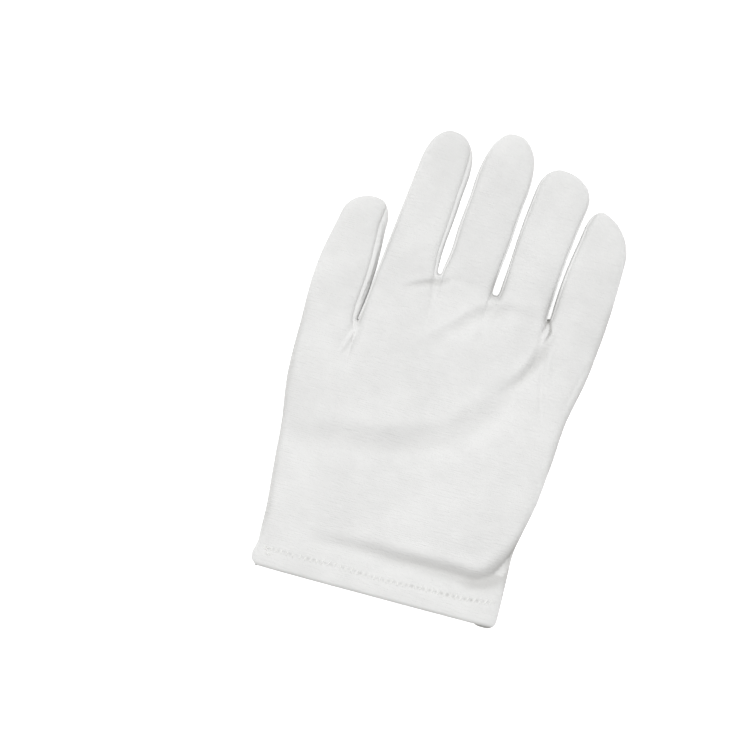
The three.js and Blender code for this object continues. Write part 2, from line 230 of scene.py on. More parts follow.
# %% Close the seams
SEAM_REACH_MM = 0.75  # from a point on a border to its partner on the next sheet
MERGE_MM = 0.12  # points that have met in the middle are joined within this distance
border = [v for v in skin.verts if v.is_boundary]
piece_of = {v: v.link_faces[0].material_index for v in border}
near = search_tree([v.co for v in border])
meeting = {}
for v in border:
    closest = {piece_of[v]: v}
    for _, number, _ in near.find_range(v.co, SEAM_REACH_MM * MM):
        other = border[number]
        kept = closest.get(piece_of[other])
        if kept is None or (other.co - v.co).length < (kept.co - v.co).length:
            closest[piece_of[other]] = other
    closest[piece_of[v]] = v
    meeting[v] = closest.values()
middles = {
    v: sum((o.co for o in group), Vector()) / len(group)
    for v, group in meeting.items()
    if len(group) > 1
}
for v, middle in middles.items():
    v.co = middle
bmesh.ops.remove_doubles(skin, verts=border, dist=MERGE_MM * MM)
open_edges = [e for e in skin.edges if e.is_boundary]
print("edges left open:", len(open_edges), "of", len(skin.edges), "edges")

# %% [markdown]
# ## Subdividing the skin
#
# Catmull-Clark subdivision turns the CAD facets into soft cloth. It also pulls the
# surface inside the points that control it, which would make the glove smaller than
# the real one. So we measure how far each control point lost its place, push it out
# by as much, and subdivide again. Five rounds bring the outline back.

# %% Subdivide and keep the outline
LEVELS = 2  # each level cuts every face in four
ROUNDS = 5
PUSH_SHARE = 0.8  # the part of what a point lost that it gets back in one round


def evaluated(control, levels):
    """The control bmesh after Catmull-Clark subdivision, as a new mesh."""
    mesh = bpy.data.meshes.new("control")
    control.to_mesh(mesh)
    thing = add_object("control", mesh)
    soft = thing.modifiers.new("soft", "SUBSURF")
    soft.levels = soft.render_levels = levels
    graph = bpy.context.evaluated_depsgraph_get()
    result = bpy.data.meshes.new_from_object(thing.evaluated_get(graph))
    bpy.data.objects.remove(thing)
    bpy.data.meshes.remove(mesh)
    return result


skin.verts.ensure_lookup_table()
wanted = [v.co.copy() for v in skin.verts]
for turn in range(ROUNDS):
    limit = evaluated(skin, LEVELS)
    lost = [wanted[i] - limit.vertices[i].co for i in range(len(wanted))]
    print("round", turn, "most lost in mm:", round(max(d.length for d in lost) / MM, 2))
    for v, push in zip(skin.verts, lost):
        v.co += push * PUSH_SHARE
    bpy.data.meshes.remove(limit)
control = skin
limit = evaluated(control, LEVELS)
control.free()
skin = bmesh.new()
skin.from_mesh(limit)
bpy.data.meshes.remove(limit)
print("skin:", len(skin.faces), "faces")

# %% [markdown]
# ## Evening out the back
#
# The CAD model carries the valleys between the fingers a long way down the back, with
# straight sides. Real cloth lets them die away. Averaging each point's height with its
# neighbours' does that, and moving only the height leaves the outline as it is. A few
# rounds are enough for the whole back, and many more are used under the webs. Columns
# of very narrow faces would show as scratches, so points that lie close together on
# the back are merged first.

# %% Even out the heights
BACK_NUMBER, PALM_NUMBER = PIECES.index("back_panel"), PIECES.index("palm_panel")
ABOVE_FLANKS_MM = 5  # the back lies higher than this, and its flanks lower
TOO_CLOSE_MM = 0.4  # points of narrow faces are merged within this distance
EVERYWHERE_ROUNDS, WEB_ROUNDS = 6, 130
# Where the webs' rounds are felt, up and across the glove: from none to full, and from
# full to none again.
UNDER_WEBS_MM = ((88, 108, 150, 160), (-40, -26, 50, 60))


def ramp(value, low, high):
    """0 below low, 1 above high, and smooth between them."""
    t = min(1, max(0, (value - low) / (high - low)))
    return t * t * (3 - 2 * t)


def within(value, a, b, c, d):
    """0 up to a, 1 from b to c, and 0 again from d on."""
    return ramp(value, a, b) * (1 - ramp(value, c, d))


def on_back(mesh):
    """The points inside the back panel, away from its flanks."""
    return [
        v
        for v in mesh.verts
        if v.co.z > ABOVE_FLANKS_MM * MM
        and all(f.material_index == BACK_NUMBER for f in v.link_faces)
    ]


def even_out(mesh, rounds, share):
    """Averages the heights of the back with their neighbours', by share at each point."""
    back = on_back(mesh)
    before = [v.co.z for v in back]
    for _ in range(rounds):
        bmesh.ops.smooth_vert(mesh, verts=back, factor=0.5, use_axis_z=True)
    for v, z in zip(back, before):
        v.co.z = z + (v.co.z - z) * share(v.co)


def under_webs(point):
    """How much the webs' rounds are felt at a point."""
    x, y = on_glove(point)
    up, across = UNDER_WEBS_MM
    return within(y, *up) * within(x, *across)


points_before = len(skin.verts)
places = [(v, *on_glove(v.co)) for v in on_back(skin)]
# The narrow faces lie on the lower half of the hand, and on its right side also higher.
narrow = [v for v, x, y in places if y < 80 or (x > 30 and y < 130)]
bmesh.ops.remove_doubles(skin, verts=narrow, dist=TOO_CLOSE_MM * MM)
even_out(skin, EVERYWHERE_ROUNDS, lambda point: 1)
even_out(skin, WEB_ROUNDS, under_webs)
print("points merged:", points_before - len(skin.verts))

# %% [markdown]
# ## Puffed gussets
#
# A gusset is the narrow strip between the back and the palm of a finger. It isn't a
# flat wall: it stays high beside the upper seam and then turns down, like the side of
# a cushion. Each point's share of the way from the upper to the lower seam is raised
# to a power, which keeps the first half high. Before that, the upper seam is slid
# outwards where the strip would show wider than it does in the photograph.

# %% Puff out the gussets
GUSSET_POWER = 3.5  # 1 would be a flat strip
# From seam to seam as seen from above, on the finger to the left of the slit and on the
# finger to its right.
WIDEST_MM = {
    "gusset_thumb_index": (3.4, 0.9),
    "gusset_index_middle": (2.5, 0.9),
    "gusset_middle_ring": (0.9, 0.9),
    "gusset_ring_little": (0.9, 0.9),
}
SLIDE_REACH_MM = 8  # how far into the back the slide is felt
SLIDE_LIFT = 0.45  # a seam that slides out also rises, by this part of the slide


def numbers_at(v):
    """The numbers of the pieces that meet at a point."""
    return {f.material_index for f in v.link_faces}


def slides_of(points, lower, widest):
    """How far to move each point of an upper seam, so that its strip isn't too wide."""
    slides = []
    for point in points:
        lean = lower.find(point)[0] - point
        lean.z = 0
        most = widest[0] if lean.x > 0 else widest[1]
        slides.append(lean * max(0, 1 - most * MM / max(lean.length, 0.1 * MM)))
    return slides


for name in [n for n in PIECES if n.startswith("gusset")]:
    own = PIECES.index(name)
    upper_points = [v.co.copy() for v in skin.verts if {own, BACK_NUMBER} <= numbers_at(v)]
    upper = search_tree(upper_points)
    lower = search_tree([v.co.copy() for v in skin.verts if {own, PALM_NUMBER} <= numbers_at(v)])
    slides = slides_of(upper_points, lower, WIDEST_MM[name])
    for v in skin.verts:
        numbers = numbers_at(v)
        if not numbers <= {own, BACK_NUMBER}:
            continue
        top, number, from_top = upper.find(v.co)
        if numbers == {own}:
            bottom, _, from_bottom = lower.find(v.co)
            share = from_top / (from_top + from_bottom)
            lift = slides[number].length * SLIDE_LIFT
            v.co.z = top.z + lift + (bottom.z - top.z - lift) * share**GUSSET_POWER
            v.co += slides[number] * (1 - share)
        elif from_top < SLIDE_REACH_MM * MM:
            felt = 1 - ramp(from_top / MM, 0, SLIDE_REACH_MM)
            v.co += slides[number] * felt
            v.co.z += slides[number].length * SLIDE_LIFT * felt
    print(name, "seam slid by up to", round(max(m.length for m in slides) / MM, 1), "mm")

# %% [markdown]
# ## Narrow slits
#
# In the photograph the slits between the fingers are narrow, and end almost in a point.
# Moving every point near a slit, of whichever piece, by a smooth bell-shaped amount
# narrows it without opening any seam.

# %% Narrow the ends of the slits
# Web: its place on the glove in mm, how far it moves up, and how much narrower it gets.
# It moves up most 1 mm below that place, and narrows most 2 mm above it.
WEBS = [((-10.0, 154.7), 2.0, 0.4), ((17.4, 151.5), 0.8, 0.35)]
ASIDE_MM = 5  # half the width of the bell across a slit


def bell(distance, half_width):
    """1 in the middle, falling off smoothly to both sides."""
    return math.exp(-((distance / half_width) ** 2))


for v in skin.verts:
    x, y = on_glove(v.co)
    for (web_x, web_y), up, squeeze in WEBS:
        share = bell(x - web_x, ASIDE_MM)
        v.co.y += up * share * bell(y - web_y + 1, 5) * MM
        v.co.x -= squeeze * (x - web_x) * share * bell(y - web_y - 2, 8) * MM
print(len(WEBS), "webs narrowed")

# %% Narrow the middles of two slits
# Slit: a point of the line that it closes towards, in mm on the glove, how far that line
# leans to the right for each mm up, half its length in mm, and how much narrower it gets.
SLITS = [((-8.5, 180), 0.13, 14, 0.5), ((22.0, 176), 0.05, 16, 0.5)]
for v in skin.verts:
    x, y = on_glove(v.co)
    for (slit_x, slit_y), lean, long, squeeze in SLITS:
        aside = x - slit_x - lean * (y - slit_y)
        v.co.x -= squeeze * aside * bell(aside, ASIDE_MM) * bell(y - slit_y, long) * MM
print(len(SLITS), "slits narrowed")

# %% [markdown]
# ## Lines on the glove
#
# Creases and stitches follow curves, which are given by a few corners on the glove. A
# Catmull-Rom curve passes through every corner, so each corner can be measured from
# the photograph. The third number of a corner is how strong the crease is there.

# %% The creases of the back
# Line: x and y on the glove in mm, and strength. Section: the ridges and valleys side by
# side, as (distance to the left of the line, half width, height), all in mm. Fine: the
# mesh is cut finer beside it. Shade: the painted shade of the creases that are so tight
# that little light gets in, mostly at the first place of their section.
CREASES = {
    "left_of_index_web": {
        "line": [
            (-27, 143.4, 0), (-22.1, 145.7, 0.5), (-17.1, 148.1, 0.9), (-14.1, 149.4, 1.1),
            (-10.9, 150.6, 1.2), (-7.4, 151.7, 1.0), (-5, 152.5, 0.6), (-3.2, 153, 0),
        ],
        "section": [(-0.1, 1.25, -1.2), (2.2, 1.4, 0.2), (-3.8, 2.6, 0.45)],
        "fine": True,
        "shade": 0.2,
    },
    "right_of_index_web": {
        "line": [(-6, 152.6, 0), (-1, 153.2, 0.7), (4.5, 152.8, 0.6), (10, 151.5, 0)],
        "section": [(0.8, 1.9, -0.75), (-2.8, 2.2, 0.3)],
        "fine": False,
        "shade": 0.08,
    },
    "from_middle_ring_web": {
        "line": [
            (29, 148.4, 0.2), (22, 147.0, 0.7), (16.9, 145.3, 0.9), (13, 144.1, 1),
            (10.5, 141.6, 1), (7.2, 138.5, 1), (4.6, 135, 0.9), (0.5, 131.9, 0.8),
            (-3, 127.5, 0.7), (-6.5, 124.7, 0.5), (-9.8, 121, 0.1),
        ],
        "section": [(3.4, 3.2, -1.5), (-1.6, 1.9, 0.75), (8.5, 4, 0.5)],
        "fine": False,
    },
    "under_ring": {
        "line": [
            (18, 146.5, 0.4), (27.4, 149.0, 0.7), (31.9, 148.7, 0.8), (38.3, 148.5, 0.8),
            (42.8, 147.6, 0.2),
        ],
        "section": [(-3.0, 3.0, -0.9), (3, 3.2, 0.5)],
        "fine": False,
    },
    "little_web_left": {
        "line": [(46.2, 146.6, 1), (45.6, 144.5, 0.9), (45.1, 142, 0.6), (45, 139.5, 0)],
        "section": [(0, 0.5, -1.3)],
        "fine": True,
        "shade": 0.6,
    },
    "little_web_right": {
        "line": [
            (46.6, 146.6, 0.8), (47.8, 144, 0.9), (48.3, 141.5, 1.1), (47.6, 138.4, 0.8),
            (46.8, 135, 0),
        ],
        "section": [(0, 0.5, -1.4), (1.9, 1.3, 0.4)],
        "fine": True,
        "shade": 0.6,
    },
    "little_web_ridge": {
        "line": [(46.9, 144.5, 0.5), (47.1, 140, 1), (47, 136, 0.3)],
        "section": [(0, 0.8, 0.35)],
        "fine": True,
    },
    "beyond_little_web": {
        "line": [(48.9, 131, 0.4), (49.6, 121.2, 0.9), (52.3, 109.6, 0.9), (54.9, 98.1, 0.2)],
        "section": [(0, 1.3, -0.6), (2.2, 1.6, 0.35), (-2.2, 1.6, 0.2)],
        "fine": True,
    },
    "little_finger_root": {
        "line": [(49.5, 141, 0.2), (51.5, 136.5, 0.7), (54.5, 125, 0.8), (56.4, 118.1, 0.1)],
        "section": [(0, 1.2, -0.6), (-2, 1.5, 0.3)],
        "fine": True,
    },
    "down_from_little_web": {
        "line": [
            (48.6, 137.5, 0.3), (46.8, 133, 1.1), (45, 128, 1.4), (42.8, 123.4, 1.4),
            (40, 118.4, 1.2), (36.8, 114, 0.7), (33.3, 109.8, 0.2),
        ],
        "section": [(1.6, 2.2, -1.15), (-2.8, 2.4, 0.65)],
        "fine": True,
        "shade": 0.12,
    },
    "across_the_back": {
        "line": [
            (40, 118.4, 0.2), (33.3, 109.8, 0.7), (29, 101, 0.9), (23.7, 94.2, 0.9),
            (13.3, 84.6, 1), (2.5, 78.8, 1.1), (-8.6, 75.6, 1.15), (-19.5, 73.3, 1.2),
            (-30.3, 71.7, 1.15), (-41, 69.7, 1), (-50.3, 67.8, 0.7), (-60, 66, 0.1),
        ],
        "section": [(4.6, 6.0, -1.45), (-5.6, 5.6, 1.0), (14, 7, 0.35)],
        "fine": False,
    },
    "above_the_hem": {
        "line": [
            (-42, 18.8, 0), (-27.1, 20.5, 0.35), (-12.8, 21.2, 0.8), (-2.8, 21.4, 1),
            (6.5, 20.9, 1.2), (20.2, 21.4, 1.4), (34, 21.4, 1.55), (43.2, 21.4, 1.65),
            (49.8, 24.4, 1.6), (54.5, 30.1, 1.5), (58.4, 37, 1.4), (61.5, 44, 0.3),
        ],
        "section": [(0, 3.2, 0), (-2.6, 3.2, -1.5), (4, 3.6, 0.7), (-8, 2.4, 0.1)],
        "fine": False,
        "shade": 0.19,
    },
    "right_corner_dent": {
        "line": [(36, 15.5, 0), (44, 16.5, 0.7), (52, 18.5, 1), (56.5, 22, 1), (60, 28, 0.4)],
        "section": [(0, 3.2, -0.9)],
        "fine": False,
        "shade": 0.3,
    },
    "right_flank_dent": {
        "line": [
            (47, 23, 0), (52.5, 27.5, 0.8), (56.5, 32.5, 1), (59.5, 38, 1.3), (62, 44.5, 0.8),
            (63.5, 51, 0),
        ],
        "section": [(-0.5, 4.0, -0.7)],
        "fine": False,
        "shade": 0.2,
    },
    "beside_little_finger": {
        "line": [(71.4, 133.5, 0.3), (67.9, 124.7, 1), (65.1, 113.1, 1), (63.9, 102.9, 0.2)],
        "section": [(0, 1.3, -0.5), (2.4, 1.6, 0.3)],
        "fine": True,
    },
    "under_thumb_web": {
        "line": [
            (-41, 123.2, 0.4), (-41.3, 118.7, 1), (-43, 113.6, 0.9), (-44.5, 109, 0.6),
            (-46.2, 104, 0.1),
        ],
        "section": [(0, 0.8, 0.45), (1.9, 1.1, -0.7), (-1.9, 1.1, -0.55)],
        "fine": True,
    },
    "beside_thumb": {
        "line": [(-66, 112, 0.2), (-63, 102, 1), (-60, 92, 0.2)],
        "section": [(0, 1.2, -0.35), (-2.2, 1.5, 0.25)],
        "fine": True,
    },
    "left_seam_ridge": {
        "line": [(-65.3, 90, 0.2), (-64, 80, 1), (-61.5, 65, 1), (-58.9, 48, 0.2)],
        "section": [(0, 0.8, 0.35), (1.9, 1.2, -0.4)],
        "fine": True,
    },
}


def smooth_line(corners, step=0.5):
    """Points about one step apart on a Catmull-Rom curve through the corners."""
    points = [Vector(c) for c in corners]
    points = [2 * points[0] - points[1], *points, 2 * points[-1] - points[-2]]
    line = []
    for a, b, c, d in zip(points, points[1:], points[2:], points[3:]):
        count = max(2, round((c - b).length / step))
        for i in range(count):
            t = i / count
            line.append(
                0.5 * (2 * b + (c - a) * t + (2 * a - 5 * b + 4 * c - d) * t * t
                       + (3 * b - a - 3 * c + d) * t * t * t)
            )
    return [*line, points[-2]]


BELL_ENDS = 2.4  # a bell is nearly 0 at this many half widths from its middle
for crease in CREASES.values():
    line = smooth_line(crease["line"])
    crease["strength"] = [max(0, point.z) for point in line]
    crease["points"] = [Vector((point.x, point.y, 0)) for point in line]
    crease["near"] = search_tree(crease["points"])
    crease["reach"] = max(abs(o) + BELL_ENDS * w for o, w, _ in crease["section"])
print(len(CREASES), "creases,", sum(len(c["points"]) for c in CREASES.values()), "points")

# %% The stitch line of the hem
STITCH_LINE = [
    (-61, 8.4, 0), (-53.4, 8.5, 0), (-38.7, 8.6, 0), (-19.1, 8.9, 0), (0.7, 8.3, 0),
    (20.2, 9.1, 0), (39.8, 9.4, 0), (54.1, 10.8, 0), (61, 11.2, 0),
]
POINT_STEP_MM = 0.25  # from one point of the line to the next
stitch_line = smooth_line(STITCH_LINE, step=POINT_STEP_MM)
stitch_near = search_tree(stitch_line)
print("stitch line:", len(stitch_line), "points")

# %% [markdown]
# ## Finer mesh where the detail is
#
# A crease 2 mm wide needs points less than a millimetre apart, but the flat parts
# don't. We cut only the edges that are too long for where they are: everywhere on
# the back to about 1.5 mm, and finer beside the seams, the sharp creases and the
# stitches.

# %% Seams, as points to measure from
def seam_between(edge):
    """The names of the two pieces that meet at an edge, or nothing inside a piece."""
    pieces = {PIECES[f.material_index] for f in edge.link_faces}
    return pieces if len(pieces) == 2 else None


def seam_tree(mesh):
    """A search tree of the points along all the seams, and the kind of each."""
    points, kinds = [], []
    for edge in mesh.edges:
        pieces = seam_between(edge)
        if not pieces:
            continue
        gusset = [name for name in pieces if name.startswith("gusset")]
        kind = "hem" if "cuff_hem" in pieces else gusset[0] if gusset else "side"
        a, b = (v.co for v in edge.verts)
        for t in (0, 0.5):
            points.append(a.lerp(b, t))
            kinds.append(kind)
    return search_tree(points), kinds


seams, seam_kinds = seam_tree(skin)
print("points on the seams:", len(seam_kinds))

# %% Cut the long edges
HEM_REGION_MM = 15  # the hem and what lies beside it reach this far from the cuff's edge


def cut_longer_than(mesh, most_mm, where):
    """Cuts in two each edge that is longer than most_mm, if its middle passes where."""
    long_edges = [
        e
        for e in mesh.edges
        if e.calc_length() > most_mm * MM and where((e.verts[0].co + e.verts[1].co) / 2)
    ]
    bmesh.ops.subdivide_edges(mesh, edges=long_edges, cuts=1, use_grid_fill=True)
    return len(long_edges)


def by_a_seam(point):
    """Whether a point is near a seam, and not on the table."""
    return seams.find(point)[2] < 1.8 * MM and point.z > 0.8 * MM


def by_a_crease(chosen, most_mm):
    """A test of whether a point on the back is within most_mm of a chosen crease."""

    def test(point):
        x, y = on_glove(point)
        if point.z < ABOVE_FLANKS_MM * MM:
            return False
        return any(c["near"].find((x, y, 0))[2] < most_mm for c in chosen)

    return test


def by_the_stitches(point):
    """Whether a point is near the stitch line."""
    x, y = on_glove(point)
    return y < HEM_REGION_MM and stitch_near.find((x, y, 0))[2] < 1.7


sharp = [c for c in CREASES.values() if c["fine"]]
tight = [c for c in CREASES.values() if c.get("shade", 0) > 0.5]
print("long edges cut:", cut_longer_than(skin, 1.5, lambda point: point.z > 3.7 * MM))
print("edges cut by the seams:", cut_longer_than(skin, 0.8, by_a_seam))
print("edges cut by the creases:", cut_longer_than(skin, 0.75, by_a_crease(sharp, 2.6)))
print("edges cut by the tight creases:", cut_longer_than(skin, 0.5, by_a_crease(tight, 1.6)))
print("edges cut by the stitches:", cut_longer_than(skin, 1.0, by_the_stitches))
print("and again:", cut_longer_than(skin, 0.6, by_the_stitches))
print("skin:", len(skin.faces), "faces")

# %% [markdown]
# ## Creases, puckers and waves
#
# All the relief goes on the one closed skin, before it is parted into its pieces, so
# that no seam can open. The creases move points straight up or down, because the
# cloth lies flat. The seams pull in along the surface's own direction. The relief
# fades out towards the side seams, where the two layers of cloth meet.

# %% Relief of the back
def beside(crease, x, y):
    """How strong a crease is at a place on the glove, and the distance to its left in mm."""
    point, number, far = crease["near"].find((x, y, 0))
    if far > crease["reach"]:
        return 0, 0
    points = crease["points"]
    before, after = points[max(0, number - 1)], points[min(len(points) - 1, number + 1)]
    forward = (after - before).normalized()
    away = Vector((x, y, 0)) - point
    left = forward.x * away.y - forward.y * away.x
    return crease["strength"][number] * bell(forward.dot(away), 2), left


def crease_height(crease, x, y):
    """Height that a crease adds at a place on the glove, in mm."""
    strength, left = beside(crease, x, y)
    return strength * sum(high * bell(left - off, wide) for off, wide, high in crease["section"])


def crease_shade(crease, x, y):
    """How much painted shade a crease gives a place on the glove."""
    strength, left = beside(crease, x, y)
    off, wide, _ = crease["section"][0]
    return crease.get("shade", 0) * strength * bell(left - off, wide)


def waves(x, y):
    """Gentle waves of cloth that lies loose, in mm."""
    place = Vector((x, y, 0))
    return 0.2 * noise.noise(place / 21) + 0.09 * noise.noise(place / 7 + Vector((5, 1, 3)))


# %% Press the creases into the skin
TOP_MM = (3.8, 6.2)  # the relief is felt from the first height on, and fully at the second
heights = []
relief = skin.verts.layers.float.new("relief")
for v in skin.verts:
    x, y = on_glove(v.co)
    creased = sum(crease_height(c, x, y) for c in CREASES.values())
    dz = ramp(v.co.z / MM, *TOP_MM) * (creased + waves(x, y))
    heights.append(dz)
    v[relief] = dz
    v.co.z += dz * MM
print("relief from", round(min(heights), 2), "to", round(max(heights), 2), "mm")

# %% Pull in the seams
# How deep a seam lies in the cloth, and half the width of its groove, in mm.
GROOVE = {
    "side": (0.3, 0.5),
    "gusset_thumb_index": (0.2, 0.4),
    "gusset_index_middle": (0.2, 0.4),
    "gusset_middle_ring": (0.15, 0.4),
    "gusset_ring_little": (0.15, 0.4),
}
# A seam on a steep flank, near the outline, lies hidden. One this far from it shows.
SHOWS_MM = (2.2, 3.4)
ALLOWANCE = (1.5, 0.75, 0.12)  # the hidden edges of the cloth: distance, half width, height
FELT_MM = 4  # how far from a seam the cloth moves
PUCKERS_MM = (1.3, 3.1)  # the size of the fine and of the coarse puckers
seams, seam_kinds = seam_tree(skin)
outline = search_tree(
    [
        Vector((v.co.x, v.co.y, 0))
        for v in skin.verts
        if PALM_NUMBER in numbers_at(v) and len(numbers_at(v)) > 1
    ]
)


def from_outline(point):
    """How far a place is from the glove's outline as seen from above, in mm."""
    return outline.find((point.x, point.y, 0))[2] / MM


skin.normal_update()
moves = []
for v in skin.verts:
    point, number, far = seams.find(v.co)
    far /= MM
    kind = seam_kinds[number]
    if far > FELT_MM or kind == "hem":
        moves.append(0)
        continue
    depth, width = GROOVE[kind]
    shown = 1 if kind == "side" else 0.1 + 0.9 * ramp(from_outline(point), *SHOWS_MM)
    small, large = (noise.noise(point / (size * MM)) for size in PUCKERS_MM)
    pucker = small + 0.6 * large
    ridge_at, ridge_wide, ridge_high = ALLOWANCE
    on_panel = any(f.material_index < 2 for f in v.link_faces)
    move = -depth * shown * (1 + 0.35 * pucker) * bell(far, width)
    move += 0.06 * pucker * bell(far, 1.6)
    if on_panel:
        move += ridge_high * shown * (1 + 0.4 * pucker) * bell(far - ridge_at, ridge_wide)
    moves.append(move)
for v, move in zip(skin.verts, moves):
    v.co += v.normal * move * MM
print("seams pulled in by up to", round(-min(moves), 2), "mm")

# %% [markdown]
# ## The hem
#
# The cuff's edge is turned in and held by a line of small stitches. The cloth between
# the stitches and the edge is double, so it puffs up a little, and it rolls down to
# the edge. Between two stitches the thread pulls a dimple. The corners of the cuff are
# round, and at the right one the lower layer peeps out from under the upper one.

# %% Shape the hem
STITCH_STEP_MM = 2.8
STITCH_GROOVE = (0.4, 0.75)  # depth and half width in mm
HEM_PUFF_MM = 0.25
EDGE_ROLL = (1.2, 2.6)  # how far the edge drops, and over what width, in mm
LEFT_END_MM = 1.7  # how far the hem's left end stands out
PEEP_MM = 1.2  # how far the lower layer shows at the right corner
CORNER_MM = 2.8  # radius of the cuff's corners
half_cuff = (hem_high.x - hem_low.x) / 2 / MM


def tension(x):
    """How tight the hem's thread is along the cuff, from loose to tight."""
    end = 1 - ramp(abs(x), half_cuff - 6, half_cuff - 2)
    uneven = 0.8 * noise.noise(Vector((x / 6, 2, 9)))
    return end * max(0.15, 0.5 + 0.3 * ramp(x, -10, 25) + uneven)


def rounded(x, y):
    """A place near a square corner of the cuff, moved onto a round corner."""
    side = math.copysign(1, x)
    u = (abs(x) - half_cuff + CORNER_MM) / CORNER_MM
    v = (CORNER_MM - CUFF_FOLD_MM - y) / CORNER_MM
    if u <= 0 or v <= 0:
        return x, y
    u, v = min(u, 1), min(v, 1)
    x = side * (half_cuff - CORNER_MM + CORNER_MM * u * math.sqrt(1 - v * v / 2))
    return x, CORNER_MM - CUFF_FOLD_MM - CORNER_MM * v * math.sqrt(1 - u * u / 2)


for v in skin.verts:
    x, y = on_glove(v.co)
    if y > HEM_REGION_MM:
        continue
    upper = ramp(v.co.z / MM, OUTLINE_HEIGHT_MM, 6.0)  # 0 on the palm, 1 on the back
    _, number, far = stitch_near.find((x, y, 0))
    depth, width = STITCH_GROOVE
    beat = 0.5 - 0.5 * math.cos(2 * math.pi * number * POINT_STEP_MM / STITCH_STEP_MM)
    groove = depth * tension(x) * (0.25 + 0.75 * beat) * bell(far, width)
    below = stitch_line[number].y
    puff = HEM_PUFF_MM * math.sin(math.pi * min(1, max(0, y / below)))
    puff *= 1 + 0.5 * noise.noise(Vector((x / 9, y / 9, 4)))
    drop, over = EDGE_ROLL
    roll = drop * (1 - min(1, max(0, (y + 1.2) / over))) ** 2
    v.co.z += (upper * (puff - roll - groove) + (1 - upper) * 0.6 * groove) * MM
    bulge = LEFT_END_MM * ramp(-x, 40, 60) * bell(y - 4, 4.5)
    x, y = rounded(x, y)
    x -= bulge
    y -= PEEP_MM * (1 - upper) * within(x, 47, 52, 55, 59.5) * (1 - ramp(y, 1, 7))
    v.co.x, v.co.y = CUFF.x + x * MM, CUFF.y + y * MM
for v in skin.verts:
    v.co.z = max(v.co.z, 0.05 * MM)  # the palm rests on the table and not in it
skin.normal_update()
print("cuff:", round(2 * half_cuff, 1), "mm wide, a stitch every", STITCH_STEP_MM, "mm")

# %% Let the left side lie as it does in the photograph
# Bulge: its place up the glove, half its length, and how far out it stands, all in mm.
LEFT_BULGES = [(30, 16, 1.1), (92, 14, 0.8)]
for v in skin.verts:
    x, y = on_glove(v.co)
    out = sum(far * bell(y - at, wide) for at, wide, far in LEFT_BULGES)
    v.co.x -= out * ramp(-x, 35, 58) * MM
print(len(LEFT_BULGES), "bulges on the left side")

# %% [markdown]
# ## Shade in the folds
# White cloth looks darkest where it turns under or closes on itself: at the cuff's
# folded edge, along the side seams, in the bottom of a fold and in a needle hole. The
# lamps give part of that. The rest is painted shade: a number from 0 to 1, stored for
# each point and read by the material, which darkens the cloth's colour by it.

# %% Shade of each point
# Painted shade: how far the material darkens each point's colour, from 0 to 1.
shade = skin.verts.layers.float.new("shade")
# How much painted shade each kind of place gets at most.
FOLD_SHADE = 0.7  # the cuff's folded edge
FLANK_SHADE, RIGHT_SHADE = 0.3, 0.12  # the side seams, and what the right one has more
DEEP_SHADE = 0.16  # the bottom of a fold
CORNER_SHADE = 0.5  # between the layers at the cuff's right corner
HOLE_SHADE = 0.55  # a needle hole
HOLE_MM = 0.55  # half the width of a needle hole with its dimple
for v in skin.verts:
    x, y = on_glove(v.co)
    z = v.co.z / MM
    fold = FOLD_SHADE * (1 - ramp(y, -0.9, 0.8))
    right = ramp(x, 0, 10)
    flank = (FLANK_SHADE + RIGHT_SHADE * right) * bell(from_outline(v.co), 1.9)
    # The side seams get painted shade from above the hem to the fingers, and the right one
    # less in the middle.
    flank *= within(y, 10, 25, 118 + 35 * right, 138 + 30 * right)
    flank *= 1 - 0.8 * within(y, 50, 58, 72, 82) * right
    deep = DEEP_SHADE * ramp(-v[relief], 0.5, 2.2)
    corner = CORNER_SHADE * (1 - ramp(z, 2, 5)) * (1 - ramp(y, 0, 4)) * ramp(x, 44, 50)
    if z > 4:
        deep += sum(crease_shade(c, x, y) for c in CREASES.values() if "shade" in c)
    hole = 0
    if y < HEM_REGION_MM:
        _, number, far = stitch_near.find((x, y, 0))
        along = number * POINT_STEP_MM / STITCH_STEP_MM
        between = (abs(along - round(along)) - 0.5) * STITCH_STEP_MM
        hole = HOLE_SHADE * tension(x) * bell(between, HOLE_MM) * bell(far, 1.4 * HOLE_MM)
    v[shade] = min(1, fold + flank + deep + corner + hole)
print("points with shade:", sum(v[shade] > 0.05 for v in skin.verts))

# %% [markdown]
# ## Knitted cotton
#
# The cloth is a fine single jersey, knitted from a dull white cotton yarn. Seen
# closely it is made of columns of small V-shaped loops. Cotton has no gloss: it is
# rough, with a soft bloom of loose fibres where it turns away from the eye. The
# loops are drawn by a height pattern that follows the cloth's own UV map, so the
# columns run from the cuff to the fingertips as they do on the real glove.

# %% Colours and nodes
def srgb(code):
    """An sRGB hex colour as the linear colour that shaders read."""
    parts = [int(code[i : i + 2], 16) / 255 for i in (1, 3, 5)]
    return (*(c / 12.92 if c <= 0.04045 else ((c + 0.055) / 1.055) ** 2.4 for c in parts), 1)


def add_node(tree, kind, inputs=(), **settings):
    """One node. Settings are its own, and inputs are values to set or sockets to link."""
    node = tree.nodes.new(kind)
    for key, value in settings.items():
        setattr(node, key, value)
    for key, value in dict(inputs).items():
        if isinstance(value, bpy.types.NodeSocket):
            tree.links.new(value, node.inputs[key])
        else:
            node.inputs[key].default_value = value
    return node


def calculate(tree, operation, *values):
    """The output of a Math node, which works on values or sockets."""
    node = add_node(tree, "ShaderNodeMath", dict(enumerate(values)), operation=operation)
    return node.outputs[0]


def new_material(name):
    """An empty material, and its node tree."""
    material = bpy.data.materials.new(name)
    material.use_nodes = True
    material.node_tree.nodes.clear()
    return material, material.node_tree


def surface(tree, inputs):
    """Adds a Principled shader with these inputs, and the output that it goes to."""
    shader = add_node(tree, "ShaderNodeBsdfPrincipled", inputs)
    add_node(tree, "ShaderNodeOutputMaterial", {"Surface": shader.outputs[0]})


